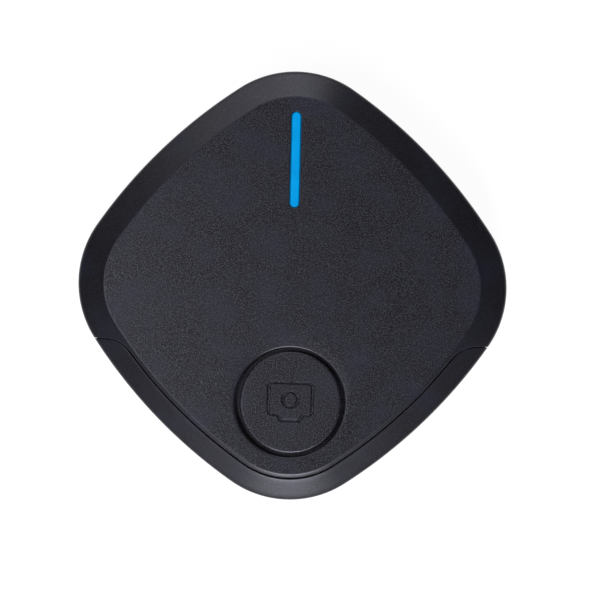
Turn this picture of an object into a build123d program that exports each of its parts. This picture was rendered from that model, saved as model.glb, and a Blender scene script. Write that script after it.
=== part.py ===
from build123d import *
import os
from math import atan2, cos, radians, sin, sqrt

# A pocket tracker tag: a rounded diamond that hangs from a key ring by a loop along its lower edge.
# It holds a round button, a blue light bar, a circuit board, a buzzer and a 20 mm coin cell.
#
# Frame, in millimetres: the tag lies on its back. The origin is the centre of the back face,
# +Z points out of the front face, and +Y points away from the button. The loop pulls out along -Y.

# ---- outline: four corner arcs, joined tangentially by four long side arcs ----
HALF_WIDTH = 21.0           # centre to the tip of a corner
CORNER_R = 10.0
SIDE_R = 50.15

# ---- thickness ----
THICK = 8.5
SPLIT_Z = 2.6               # parting plane between rear and front cover
FLOOR_Z = 1.3               # inside face of the rear cover
CEILING_Z = 7.3             # inside face of the front cover
BEVEL_IN = 2.55             # bevel round the front face: width in plan
BEVEL_DROP = 1.5            # and how far it falls
FRONT_EDGE_R = 0.5
BACK_EDGE_R = 1.2
WALL = 1.2
BREAK = 0.12                # broken edges beside the seams
FRONT_LOW_Z = THICK - BEVEL_DROP - FRONT_EDGE_R     # nothing of the front's relief lies lower

# ---- hanging loop, and the seam round it ----
LOOP_IN = 2.1               # loop's width in plan
SEAM = 0.1                  # gap between loop and covers
LOOP_TOP_Y = -5.62          # upper ends of the loop
COVER_TOP_Y = -5.57
LOOP_CORNER_R = 3.1         # rounded inner corner at each upper end
LOOP_TRAVEL = 5.0
ARM_X = (13.9, 16.3)        # the two arms that slide in the case
ARM_Z = (2.75, 4.55)
ARM_END_Y = 5.0
HOOK_X = 17.0
HOOK_Y = 3.6
ARM_GAP = 0.12

# ---- button ----
BUTTON_Y = -11.42
BUTTON_R = 5.0
BUTTON_SHIFT = 0.08         # the cap sits this far to the right in its hole
BUTTON_HOLE_R = 5.32
HOLE_BREAK = 0.2
BUTTON_TOP = 8.45
FLANGE_R = 5.85
FLANGE_Z = (6.8, 7.28)
POST_R = 1.2
TAB_REACH = 6.7
TAB_HALF = 0.8
ICON_LINE = 0.36
ICON_DEPTH = 0.11

# ---- light bar ----
BAR_W = 0.8
BAR_LENGTH = 9.25
BAR_Y = 12.3
BAR_FIT = 0.1               # gap round the bar in its slot
BAR_FLANGE_W = 2.2
BAR_FLANGE_LENGTH = 10.6
BAR_FLANGE_T = 0.45

# ---- coin cell, its door and contacts ----
CELL_Y = 2.0
CELL_R = 10.0
CELL_Z = 1.07
CELL_T = 3.2
CELL_CAN_T = 2.9
CELL_SHEET = 0.25
CELL_CAP_R = 8.8
DOOR_R = 12.2
DOOR_RECESS_R = 12.3
DOOR_RECESS_Z = 0.75
DOOR_FLANGE_T = 0.6
DOOR_HUB_R = 10.8
DOOR_HOLE_R = 10.9
DOOR_INNER_Z = 1.05
DOOR_RIM_IN = 10.15
LUG_R = 11.7
LUG_Z = (1.35, 1.95)
LUG_ANGLE = 24
NOTCH_R = 11.8
NOTCH_ANGLE = 28
DOOR_TURN = 45
COIN_SLOT = (13.0, 1.8, 0.6)
WELL_IN = 12.0              # round wall that holds the cell
WELL_OUT = 12.7
WELL_TOP = 4.2
CONTACT_ANGLES = (42, 138)
RIB_ANGLES = (20, 90, 160, 205, 270, 335)

# ---- circuit board and what stands on it ----
BOARD_Z = (4.9, 5.7)
BOARD_IN = 1.45             # board edge, measured in from the covers' outside
SCREWS = ((-9.6, -8.6), (9.6, -8.6), (-5.5, 15.0), (5.5, 15.0))
SCREW_R = 0.7
SCREW_HEAD_R = 1.2
SCREW_HEAD_T = 0.7
BOSS_R = 1.35
SWITCH_SIZE = 4.5
SWITCH_BASE_T = 0.8
SWITCH_WELL_R = 1.6
DOME_R = 1.5
DOME_RISE = 0.4
DOME_SHEET = 0.06
PLUNGER_R = 0.9
PLUNGER_TOP = 6.86
BUZZER_Y = 0.95
BUZZER_R = 5.75
CERAMIC_R = 4.2
TAPE_T = 0.1
PLATE_T = 0.15
TERMINAL_T = 0.15
LED_Y = (9.8, 14.8)
CAPACITORS = (
    (-12.6, -1.2), (-11.4, -3.4), (-5.6, -2.6), (-3.4, 7.6), (3.4, 7.6), (8.4, 4.6), (8.4, 2.4), (8.4, 0.2))
RESISTORS = ((-6.8, -8.4), (-4.6, -8.4), (4.6, -7.6), (7.2, -5.4), (8.4, -2.0), (-3.4, 9.6), (3.4, 9.6))
CHIP_BODY = (0.56, 0.5)
CHIP_END = 0.24

OVER = 30.0                 # reach of the cutting blocks, well past the tag
CORNER_C = HALF_WIDTH - CORNER_R
SIDE_C = (-2 * CORNER_C + sqrt(8 * (SIDE_R - CORNER_R) ** 2 - 4 * CORNER_C ** 2)) / 4
JOIN = atan2(SIDE_C, CORNER_C + SIDE_C)     # direction where a corner arc meets a side arc
CELL_POS = Pos(0, CELL_Y)
BUTTON_POS = Pos(0, BUTTON_Y)


def arc(cx, cy, radius, start, end):
    """Arc about (cx, cy) between two directions, in radians."""
    at = [(cx + radius * cos(a), cy + radius * sin(a)) for a in (start, (start + end) / 2, end)]
    return ThreePointArc(*at)


def outline(inset=0.0):
    """The rounded diamond, moved inwards by inset."""
    corner = arc(CORNER_C, 0, CORNER_R - inset, -JOIN, JOIN)
    side = arc(-SIDE_C, -SIDE_C, SIDE_R - inset, JOIN, radians(90) - JOIN)
    return make_face([Rot(0, 0, 90 * q) * edge for q in range(4) for edge in (corner, side)])


def lower_band(inset, top, corner_r):
    """Everything below top and outside the diamond moved in by inset, its two inner corners rounded."""
    band = Pos(0, top - OVER / 2) * Rectangle(2 * OVER, OVER) - outline(inset)
    corners = [v for v in band.vertices() if abs(v.Y - top) < 1e-4 and abs(v.X) < HALF_WIDTH]
    return fillet(corners, corner_r)


def cover_band(offset=0.0):
    """What the covers leave free for the loop, shrunk into the covers by offset."""
    return lower_band(LOOP_IN + SEAM + offset, COVER_TOP_Y + offset, LOOP_CORNER_R + SEAM + offset)


def cover_plan(inset=0.0):
    """Plan of the covers without the loop, moved inwards by inset."""
    return outline(inset) - cover_band(inset)


def prism(face, low, high):
    """A flat face raised from height low to height high."""
    return Pos(0, 0, low) * extrude(face, amount=high - low)


def disc(radius, low, high):
    return prism(Circle(radius), low, high)


def ring(inner, outer, low, high):
    return prism(Circle(outer) - Circle(inner), low, high)


def block(x, y, z):
    """Box between the pairs x, y and z."""
    size = [b - a for a, b in (x, y, z)]
    centre = [(a + b) / 2 for a, b in (x, y, z)]
    return Pos(*centre) * Box(*size)


def sector(inner, outer, middle, width, low, high):
    """Part of a ring, width degrees wide about the direction middle."""
    first = radians(middle - width / 2)
    last = radians(middle + width / 2)
    reach = outer / cos((last - first) / 2)
    wedge = make_face(Polyline(
        (0, 0), (reach * cos(first), reach * sin(first)), (reach * cos(last), reach * sin(last)), (0, 0)))
    return ring(inner, outer, low, high) & prism(wedge, low, high)


def both_sides(shape):
    """A shape and its mirror image across the middle of the tag."""
    return shape + mirror(shape, about=Plane.YZ)


def group(shapes):
    """Separate solids that share one node."""
    return Compound(children=[solid for shape in shapes for solid in shape.solids()])


def strip(points, thickness, width):
    """Sheet-metal strip: a bent line in the XZ plane, given thickness, and width along Y."""
    profile = Plane.XZ * trace(Polyline(*points), thickness)
    return extrude(profile, amount=width / 2, both=True)


def break_edges(shape, band, size):
    """Chamfers the front edges of shape that run along the boundary of band."""
    wire = band.face().outer_wire()

    def on_band(edge):
        spots = [edge.position_at(t) for t in (0.1, 0.5, 0.9)]
        return all(wire.distance_to(Vertex(p.X, p.Y, 0)) < 1e-3 and p.Z > FRONT_LOW_Z for p in spots)

    return chamfer(shape.edges().filter_by(on_band), size)



def tag_form():
    """Outside of the whole closed tag."""
    form = extrude(outline(), amount=THICK).solid()
    face = form.faces().sort_by(Axis.Z)[-1]
    form = chamfer(face.edges(), length=BEVEL_IN, length2=BEVEL_DROP, reference=face)
    rim = form.edges().filter_by(lambda e: abs(e.center().Z - THICK + BEVEL_DROP) < 1e-3)
    form = fillet(rim, FRONT_EDGE_R)
    return fillet(form.edges().group_by(Axis.Z)[0], BACK_EDGE_R)


def arm_slots():
    """Room that the two sliding arms need through the covers' lower walls."""
    x = (ARM_X[0] - ARM_GAP, ARM_X[1] + ARM_GAP)
    return both_sides(block(x, (-OVER, ARM_END_Y + ARM_GAP), (SPLIT_Z, ARM_Z[1] + ARM_GAP)))


def snap_ridges(grow):
    """Ridges round the lip that snap into the front cover, or their pockets when grown."""
    reach = SIDE_R - SIDE_C * sqrt(2) - WALL        # centre to the inside of an upper side wall
    ridge = Box(0.4 + 2 * grow, 5 + 4 * grow, 0.4 + 2 * grow)
    spots = [(reach, 45), (reach, 135), (reach - LOOP_IN - SEAM, 225), (reach - LOOP_IN - SEAM, 315)]
    return [Rot(0, 0, a) * Pos(d, 0, SPLIT_Z + 0.7) * ridge for d, a in spots]


def front_cover(form):
    cavity = prism(outline(WALL), -1, CEILING_Z).solid()
    ceiling = cavity.faces().sort_by(Axis.Z)[-1]
    cavity = chamfer(ceiling.edges(), length=1.4, length2=0.8, reference=ceiling)
    cavity = cavity - prism(cover_band(WALL), -2, THICK)
    shell = form & block((-OVER, OVER), (-OVER, OVER), (SPLIT_Z, THICK + 1))
    shell = shell - prism(cover_band(), -1, THICK + 1)
    shell = break_edges(shell, cover_band(), BREAK)
    shell = shell - cavity
    for x, y in SCREWS:
        boss = disc(BOSS_R, BOARD_Z[1], CEILING_Z + 0.2) - disc(0.5, 0, CEILING_Z - 0.2)
        shell = shell + Pos(x, y) * boss
    # short posts that keep the button's tabs from turning
    post_x = (FLANGE_R + 0.25, TAB_REACH + 0.3)
    post = block(post_x, (TAB_HALF + 0.1, TAB_HALF + 0.7), (6.1, CEILING_Z + 0.2))
    posts = both_sides(post + mirror(post, about=Plane.XZ))
    shell = shell + BUTTON_POS * posts
    hole = BUTTON_POS * disc(BUTTON_HOLE_R, 5, THICK + 1)
    shell = shell - hole
    rim = shell.edges().filter_by(GeomType.CIRCLE).filter_by(
        lambda e: abs(e.radius - BUTTON_HOLE_R) < 1e-4 and abs(e.center().Z - THICK) < 1e-4)
    shell = chamfer(rim, HOLE_BREAK)
    slot = SlotOverall(BAR_LENGTH + 2 * BAR_FIT, BAR_W + 2 * BAR_FIT, rotation=90)
    shell = shell - prism(Pos(0, BAR_Y) * slot, 5, THICK + 1) - arm_slots()
    for pocket in snap_ridges(0.1):
        shell = shell - pocket
    return shell


def rear_cover(form):
    shell = form & block((-OVER, OVER), (-OVER, OVER), (-1, SPLIT_Z))
    shell = shell - prism(cover_band(), -1, SPLIT_Z + 1)
    shell = shell - prism(cover_plan(WALL), FLOOR_Z, SPLIT_Z + 1)
    lip = prism(cover_plan(WALL + 0.05), FLOOR_Z, SPLIT_Z + 1.1)
    lip = lip - prism(cover_plan(WALL + 0.7), FLOOR_Z - 1, SPLIT_Z + 2)
    for ridge in snap_ridges(0):
        lip = lip + ridge
    shell = shell + (lip - arm_slots())
    # round wall for the cell, with ribs that centre it and windows for the side contacts
    well = ring(WELL_IN, WELL_OUT, FLOOR_Z, WELL_TOP)
    for angle in RIB_ANGLES:
        rib = block((CELL_R + 0.12, WELL_IN + 0.3), (-0.4, 0.4), (LUG_Z[1] + 0.12, WELL_TOP))
        well = well + Rot(0, 0, angle) * rib
    shell = shell + CELL_POS * well
    # guides for the two arms: a pad under each, a full inner rib, and a short outer rib that stops the hook
    inner = (ARM_X[0] - ARM_GAP - 0.7, ARM_X[0] - ARM_GAP)
    outer = (ARM_X[1] + ARM_GAP, ARM_X[1] + ARM_GAP + 0.75)
    pad = block((inner[0], outer[1]), (-4.1, ARM_END_Y + 0.6), (FLOOR_Z, ARM_Z[0] - 0.1))
    inner_rib = block(inner, (-4.1, ARM_END_Y + 0.6), (FLOOR_Z, 4.4))
    stop_rib = block(outer, (-4.0, HOOK_Y - LOOP_TRAVEL - 0.05), (FLOOR_Z, 4.4))
    shell = shell + both_sides(pad + inner_rib + stop_rib)
    # opening for the battery door, with notches that let its lugs through
    opening = disc(DOOR_RECESS_R, -1, DOOR_RECESS_Z) + disc(DOOR_HOLE_R, -1, FLOOR_Z + 0.01)
    for n in range(3):
        notch = sector(DOOR_HOLE_R - 1, NOTCH_R, 120 * n + 90 + DOOR_TURN, NOTCH_ANGLE, -1, FLOOR_Z + 0.01)
        opening = opening + notch
    shell = shell - CELL_POS * opening
    # two dots beside the door: locked and open
    for angle in (90, 90 - DOOR_TURN):
        shell = shell - CELL_POS * Rot(0, 0, angle) * Pos(DOOR_RECESS_R + 1.1, 0, 0) * Cylinder(0.4, 0.3)
    return shell


def hanging_loop(form):
    band = lower_band(LOOP_IN, LOOP_TOP_Y, LOOP_CORNER_R)
    loop = form & prism(band, -1, THICK + 1)
    loop = break_edges(loop, band, BREAK)
    arm = make_face(Polyline(
        (ARM_X[0], ARM_END_Y), (ARM_X[1], ARM_END_Y), (ARM_X[1], -8.0), (ARM_X[0], -10.6),
        (ARM_X[0], ARM_END_Y)))
    hook = block((ARM_X[1] - 0.1, HOOK_X), (HOOK_Y, ARM_END_Y), ARM_Z)
    return loop + both_sides(prism(arm, *ARM_Z) + hook)


def button_cap():
    cap = disc(BUTTON_R, FLANGE_Z[0], BUTTON_TOP).solid()
    cap = fillet(cap.edges().group_by(Axis.Z)[-1], 0.25)
    cap = cap + disc(FLANGE_R, *FLANGE_Z)
    cap = cap + both_sides(block((4, TAB_REACH), (-TAB_HALF, TAB_HALF), FLANGE_Z))
    cap = cap - disc(BUTTON_R - 0.9, 0, 7.5)
    cap = cap + disc(POST_R, PLUNGER_TOP + 0.02, 7.6)
    for n in range(3):
        cap = cap + Rot(0, 0, 120 * n + 30) * block((0.5, BUTTON_R - 0.5), (-0.3, 0.3), (7.0, 7.6))
    # pictogram: a plain camera, its hump towards the loop, and a ring for its lens
    body = make_face(Polyline(
        (-2.32, 2.08), (2.32, 2.08), (2.32, -1.37), (1.32, -1.37), (1.0, -1.95),
        (-1.0, -1.95), (-1.32, -1.37), (-2.32, -1.37), (-2.32, 2.08)))
    corners = [v for v in body.vertices() if abs(v.X) > 2]
    body = fillet(corners, 0.5)
    picture = body - offset(body, -ICON_LINE, kind=Kind.INTERSECTION)
    lens = Pos(0, 0.3) * (Circle(0.91) - Circle(0.91 - ICON_LINE))
    cap = cap - prism(picture + lens, BUTTON_TOP - ICON_DEPTH, BUTTON_TOP + 1)
    return Pos(BUTTON_SHIFT, BUTTON_Y) * cap


def light_bar():
    bar = prism(SlotOverall(BAR_LENGTH, BAR_W, rotation=90), CEILING_Z - BAR_FLANGE_T, THICK)
    flange = SlotOverall(BAR_FLANGE_LENGTH, BAR_FLANGE_W, rotation=90)
    return Pos(0, BAR_Y) * (bar + prism(flange, CEILING_Z - BAR_FLANGE_T, CEILING_Z))


def battery_door():
    door = disc(DOOR_R, 0, DOOR_FLANGE_T).solid()
    door = chamfer(door.edges().group_by(Axis.Z)[0], 0.15)
    door = door + disc(DOOR_HUB_R, 0, DOOR_INNER_Z) + ring(DOOR_RIM_IN, DOOR_HUB_R, 0.8, LUG_Z[1])
    for n in range(3):
        door = door + sector(DOOR_HUB_R - 0.3, LUG_R, 120 * n + 90, LUG_ANGLE, *LUG_Z)
    length, width, depth = COIN_SLOT
    slot = SlotOverall(length, width)
    door = door - prism(slot, -1, depth)
    return CELL_POS * (door - Pos(0, DOOR_R - 1.3, 0) * Cylinder(0.4, 0.3))


def door_gasket():
    low, high = DOOR_FLANGE_T + 0.02, DOOR_RECESS_Z - 0.01
    return CELL_POS * ring(DOOR_HOLE_R + 1.0, DOOR_RECESS_R - 0.1, low, high)


def turned(points):
    """Solid turned about the cell's axis from a closed profile of (radius, height above the cell's base)."""
    profile = make_face(Plane.XZ * Polyline(*points, points[0]))
    return CELL_POS * Pos(0, 0, CELL_Z) * revolve(profile, Axis.Z)


def cell_can():
    inner = CELL_R - CELL_SHEET
    return turned([
        (0, 0), (CELL_R - 0.3, 0), (CELL_R, 0.3), (CELL_R, CELL_CAN_T - 0.5), (CELL_R - 0.45, CELL_CAN_T),
        (CELL_R - 0.65, CELL_CAN_T), (inner, CELL_CAN_T - 0.6), (inner, CELL_SHEET), (0, CELL_SHEET)])


def cell_gasket():
    inner = CELL_R - CELL_SHEET
    return turned([
        (CELL_CAP_R, CELL_SHEET), (inner, CELL_SHEET), (inner, CELL_CAN_T - 0.6),
        (CELL_R - 0.65, CELL_CAN_T), (CELL_CAP_R, CELL_CAN_T)])


def cell_cap():
    inner = CELL_CAP_R - CELL_SHEET
    return turned([
        (0, CELL_T), (CELL_CAP_R - 0.25, CELL_T), (CELL_CAP_R, CELL_T - 0.25), (CELL_CAP_R, 1.0),
        (inner, 1.0), (inner, CELL_T - CELL_SHEET), (0, CELL_T - CELL_SHEET)])


def cell_core():
    inner = CELL_CAP_R - CELL_SHEET
    return turned([
        (0, CELL_SHEET), (inner, CELL_SHEET), (inner, CELL_T - CELL_SHEET), (0, CELL_T - CELL_SHEET)])


def positive_contacts():
    """Two springy side clips, soldered under the board, that press on the can."""
    leg = strip(((13.8, 4.82), (10.25, 4.82), (10.25, 3.6), (10.12, 3.0), (10.3, 2.3)), 0.15, 4.4)
    return group([CELL_POS * Rot(0, 0, angle) * leg for angle in CONTACT_ANGLES])


def negative_contact():
    """Plate under the board with two sprung fingers that press on the cell's cap."""
    top = BOARD_Z[0] - 0.08
    plate = block((-2.0, 2.0), (-2.6, 2.6), (BOARD_Z[0] - 0.15, BOARD_Z[0]))
    finger = strip(((1.6, top), (2.4, top), (5.6, 4.37), (6.3, 4.55)), 0.15, 1.4)
    fingers = [Pos(0, y) * Rot(0, 0, a) * finger for y, a in ((1.5, 0), (-1.5, 180))]
    return CELL_POS * (plate + fingers[0] + fingers[1])


def circuit_board():
    board = prism(cover_plan(BOARD_IN), *BOARD_Z)
    for x, y in SCREWS:
        board = board - Pos(x, y) * disc(SCREW_R + 0.1, 0, THICK)
    return board


def board_screws():
    head = disc(SCREW_HEAD_R, BOARD_Z[0] - SCREW_HEAD_T, BOARD_Z[0]).solid()
    head = fillet(head.edges().group_by(Axis.Z)[0], 0.25)
    cross = Box(1.3, 0.3, 0.8) + Box(0.3, 1.3, 0.8)
    thread = disc(0.48, BOARD_Z[0], CEILING_Z - 0.4)
    screw = head + thread - Pos(0, 0, BOARD_Z[0] - SCREW_HEAD_T) * cross
    return group([Pos(x, y) * screw for x, y in SCREWS])


def on_board(x, y, length, width, height):
    """Box standing on the front side of the board."""
    return Pos(x, y, BOARD_Z[1] + height / 2) * Box(length, width, height)


def bluetooth_chip():
    dot = Pos(-10.3, 4.6, BOARD_Z[1] + 0.85) * Cylinder(0.3, 0.1)
    return on_board(-8.2, 2.5, 6.0, 6.0, 0.85) - dot


def crystals():
    """Main crystal and the slow clock crystal, each a metal can."""
    cans = [on_board(-8.6, -3.4, 3.2, 2.5, 0.7), on_board(-13.2, 3.2, 1.5, 3.2, 0.8)]
    return group([fillet(can.edges().filter_by(Axis.Z), 0.3) for can in cans])


def antenna_trace():
    """Printed meander at the right corner of the board."""
    pitch, height, turns = 0.9, 5.6, 5
    points = [(11.2, -height / 2)]
    for n in range(turns):
        x = 11.9 + n * pitch
        up = height / 2 if n % 2 == 0 else -height / 2
        points += [(x, -up), (x, up)]
    return prism(trace(Polyline(*points), 0.35), BOARD_Z[1], BOARD_Z[1] + 0.05)


def capacitors():
    return group([on_board(x, y, *CHIP_BODY, 0.5) for x, y in CAPACITORS])


def resistors():
    return group([on_board(x, y, *CHIP_BODY, 0.35) for x, y in RESISTORS])


def chip_terminals():
    """Tinned ends of the capacitors and resistors."""
    reach = (CHIP_BODY[0] + CHIP_END) / 2
    spots = [(x, y, 0.5) for x, y in CAPACITORS] + [(x, y, 0.35) for x, y in RESISTORS]
    return group([on_board(x + side * reach, y, CHIP_END, 0.5, h) for x, y, h in spots for side in (-1, 1)])


def led_bodies():
    return group([on_board(0, y, 0.8, 1.6, 0.25) for y in LED_Y])


def led_lenses():
    return group([Pos(0, 0, 0.25) * on_board(0, y, 0.8, 1.1, 0.4) for y in LED_Y])


def switch_base():
    base = Pos(0, BUTTON_Y) * on_board(0, 0, SWITCH_SIZE, SWITCH_SIZE, SWITCH_BASE_T)
    return base - BUTTON_POS * disc(SWITCH_WELL_R, BOARD_Z[1] + 0.15, THICK)


def switch_terminals():
    spots = [(x, BUTTON_Y + y) for x in (-2.6, 2.6) for y in (-1.6, 1.6)]
    return group([on_board(x, y, 0.7, 0.7, TERMINAL_T) for x, y in spots])


def switch_cover():
    plate = Rectangle(SWITCH_SIZE, SWITCH_SIZE) - Circle(PLUNGER_R + 0.1)
    return BUTTON_POS * prism(plate, BOARD_Z[1] + SWITCH_BASE_T, BOARD_Z[1] + SWITCH_BASE_T + 0.1)


def switch_dome():
    """Snap dome: a thin shallow cap of sprung steel under the plunger."""
    low = BOARD_Z[1] + 0.16
    radius = (DOME_R ** 2 + DOME_RISE ** 2) / (2 * DOME_RISE)
    shell = Pos(0, 0, low + DOME_RISE - radius) * (Sphere(radius) - Sphere(radius - DOME_SHEET))
    return BUTTON_POS * (shell & disc(DOME_R + 1, low, low + 1))


def switch_plunger():
    low = BOARD_Z[1] + 0.16 + DOME_RISE + 0.01
    return BUTTON_POS * (disc(PLUNGER_R, low, PLUNGER_TOP) + disc(1.35, low, low + 0.15))


def buzzer_tape():
    top = CEILING_Z
    return Pos(0, BUZZER_Y) * ring(BUZZER_R - 1.0, BUZZER_R, top - TAPE_T, top)


def buzzer_plate():
    top = CEILING_Z - TAPE_T
    return Pos(0, BUZZER_Y) * disc(BUZZER_R, top - PLATE_T, top)


def buzzer_ceramic():
    top = CEILING_Z - TAPE_T - PLATE_T
    return Pos(0, BUZZER_Y) * disc(CERAMIC_R, top - PLATE_T, top)


def buzzer_springs():
    """Two sprung fingers from the board to the buzzer: one to its plate, one to its ceramic."""
    foot = BOARD_Z[1] + 0.08
    plate_z = CEILING_Z - TAPE_T - PLATE_T - 0.08
    ceramic_z = plate_z - PLATE_T

    def finger(reach):
        return strip(((2.6, foot), (0.8, foot), (0.3, foot + 0.35), (-0.4, reach), (-1.0, reach)), 0.12, 1.0)

    low = Pos(1.6, BUZZER_Y - 1.2) * finger(ceramic_z)
    high = Pos(0, BUZZER_Y) * Rot(0, 0, -60) * Pos(5.6, 0) * finger(plate_z)
    return group([low, high])


def test_pads():
    spots = [(-4.5, -13.2), (-2.7, -13.2), (2.7, -13.2), (4.5, -13.2)]
    return group([Pos(x, y) * disc(0.6, BOARD_Z[0] - 0.05, BOARD_Z[0]) for x, y in spots])


def main():
    os.makedirs("parts", exist_ok=True)
    form = tag_form()
    pieces = {
        "front_cover": front_cover(form),
        "rear_cover": rear_cover(form),
        "hanging_loop": hanging_loop(form),
        "button_cap": button_cap(),
        "light_bar": light_bar(),
        "battery_door": battery_door(),
        "door_gasket": door_gasket(),
        "cell_can": cell_can(),
        "cell_gasket": cell_gasket(),
        "cell_cap": cell_cap(),
        "cell_core": cell_core(),
        "positive_contacts": positive_contacts(),
        "negative_contact": negative_contact(),
        "circuit_board": circuit_board(),
        "board_screws": board_screws(),
        "bluetooth_chip": bluetooth_chip(),
        "crystals": crystals(),
        "antenna_trace": antenna_trace(),
        "capacitors": capacitors(),
        "resistors": resistors(),
        "chip_terminals": chip_terminals(),
        "led_bodies": led_bodies(),
        "led_lenses": led_lenses(),
        "switch_base": switch_base(),
        "switch_terminals": switch_terminals(),
        "switch_cover": switch_cover(),
        "switch_dome": switch_dome(),
        "switch_plunger": switch_plunger(),
        "buzzer_tape": buzzer_tape(),
        "buzzer_plate": buzzer_plate(),
        "buzzer_ceramic": buzzer_ceramic(),
        "buzzer_springs": buzzer_springs(),
        "test_pads": test_pads(),
    }
    for name, shape in pieces.items():
        export_step(shape, f"parts/{name}.step")


main()
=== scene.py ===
from math import acos, asin, atan, atan2, cos, pi, radians, sin, sqrt, tan

import bpy
import bmesh
import numpy as np
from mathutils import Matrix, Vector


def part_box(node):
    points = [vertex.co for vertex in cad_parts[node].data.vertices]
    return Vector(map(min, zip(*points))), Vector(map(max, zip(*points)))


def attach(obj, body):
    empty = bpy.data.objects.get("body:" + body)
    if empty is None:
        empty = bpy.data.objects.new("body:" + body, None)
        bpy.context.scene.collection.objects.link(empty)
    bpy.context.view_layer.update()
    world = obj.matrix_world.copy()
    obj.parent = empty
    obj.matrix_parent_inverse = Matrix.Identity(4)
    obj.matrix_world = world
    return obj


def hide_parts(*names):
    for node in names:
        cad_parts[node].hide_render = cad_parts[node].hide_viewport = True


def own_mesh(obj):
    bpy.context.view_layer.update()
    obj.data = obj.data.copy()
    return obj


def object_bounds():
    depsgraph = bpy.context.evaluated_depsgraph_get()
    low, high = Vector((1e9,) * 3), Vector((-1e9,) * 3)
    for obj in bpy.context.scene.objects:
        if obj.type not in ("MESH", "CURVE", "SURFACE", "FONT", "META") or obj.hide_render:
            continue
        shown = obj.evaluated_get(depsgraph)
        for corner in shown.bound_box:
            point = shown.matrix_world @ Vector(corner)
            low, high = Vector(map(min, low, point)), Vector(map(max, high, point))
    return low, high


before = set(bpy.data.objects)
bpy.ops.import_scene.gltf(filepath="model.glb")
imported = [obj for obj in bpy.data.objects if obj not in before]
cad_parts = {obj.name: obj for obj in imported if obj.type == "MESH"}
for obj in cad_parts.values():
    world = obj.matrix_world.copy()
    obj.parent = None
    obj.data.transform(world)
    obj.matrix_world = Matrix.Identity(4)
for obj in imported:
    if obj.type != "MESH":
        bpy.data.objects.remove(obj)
cad_low, cad_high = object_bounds()
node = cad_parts
MM = 0.001


# ---- Outline of the case ----
# The tag is a rounded diamond: four corner arcs of 10 mm joined by four long side arcs. Front shell, back
# shell and hanging loop are moulded to this one outline, so they meet flush all round.
HALF_WIDTH = cad_high.x / MM
THICK = cad_high.z / MM
CORNER_R = 10.0
SIDE_R = 50.15
CORNER_C = HALF_WIDTH - CORNER_R
SIDE_C = (-2 * CORNER_C + sqrt(8 * (SIDE_R - CORNER_R) ** 2 - 4 * CORNER_C**2)) / 4
JOIN = atan2(SIDE_C, CORNER_C + SIDE_C)
QUARTER = pi / 2


def inside(points):
    """How far points lie inside the outline, and the direction straight out of it: folded into one quadrant, a
    point is measured from the centre of the arc it lies opposite, and depth is radius minus that distance."""
    folded = np.abs(points)
    turn = np.arctan2(folded[..., 1] + SIDE_C, folded[..., 0] + SIDE_C)[..., None]
    centre = np.where(turn < JOIN, (CORNER_C, 0.0), np.where(turn > QUARTER - JOIN, (0.0, CORNER_C), -SIDE_C))
    radius = np.where((turn < JOIN) | (turn > QUARTER - JOIN), CORNER_R, SIDE_R)[..., 0]
    reach = folded - centre
    distance = np.linalg.norm(reach, axis=-1)
    outwards = reach / distance[..., None] * np.where(points < 0, -1.0, 1.0)
    return radius - distance, outwards


# ---- Bevel that front shell and loop share ----
# Both are shaped to one form: a soft outer edge, a straight bevel, and a crease where it meets the flat face.
BEVEL_IN, BEVEL_DROP = 2.55, 1.5
EDGE_R, CREASE_R, SEAM_R = 0.5, 0.45, 0.08
SLOPE = atan(BEVEL_DROP / BEVEL_IN)
EDGE_Z = THICK - BEVEL_DROP + EDGE_R * tan(SLOPE) - EDGE_R / cos(SLOPE)
CREASE_END = BEVEL_IN + CREASE_R * tan(SLOPE / 2)


def front_height(depth):
    """Height of the front by depth from the outline: an edge radius, the bevel's straight slope, a small crease
    radius, then the flat face. The two circles are tangent to the slope, so it is the tangent stretch between."""
    slope = THICK - BEVEL_DROP + depth * tan(SLOPE)
    edge = EDGE_Z + np.sqrt(np.clip(EDGE_R**2 - (EDGE_R - depth) ** 2, 0.0, None))
    crease = THICK - CREASE_R + np.sqrt(np.clip(CREASE_R**2 - (CREASE_END - depth) ** 2, 0.0, None))
    height = np.where(depth < EDGE_R * (1 - sin(SLOPE)), edge, slope)
    height = np.where(depth > CREASE_END - CREASE_R * sin(SLOPE), crease, height)
    return np.where(depth > CREASE_END, THICK, height)


# ---- Hanging loop ----
# The rim along the two lower sides is a separate ABS bar. Two flat arms inside the case guide it as it is pulled
# out for a key ring, and the hooks at their ends stop it.
LOOP_IN, LOOP_TOP, LOOP_CORNER_R, LOOP_TIP_R, LOOP_EDGE_R = 2.1, -5.62, 3.1, 0.05, 0.15
BACK_R, FULL_EDGE_WIDTH, BACK_R_SHARE = 1.2, 0.6, 0.97
ARM_X, ARM_Z, ARM_EDGE_R = (13.9, 16.3), (2.75, 4.55), 0.1
ARM_END, ARM_ROOT, HOOK_X, HOOK_LOW = 5.0, (-10.6, -8.0), 17.0, 3.6


def arc(centre, radius, start, end, count, side=1.0):
    """Points centre + radius (cos a, sin a) for a from start to end, the last left out, and their normals
    side (cos a, sin a). All angles in radians."""
    a = np.linspace(start, end, count, endpoint=False)
    ray = np.stack((np.cos(a), np.sin(a)), axis=-1)
    return np.concatenate((np.array(centre) + radius * ray, side * ray), axis=-1)


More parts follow.
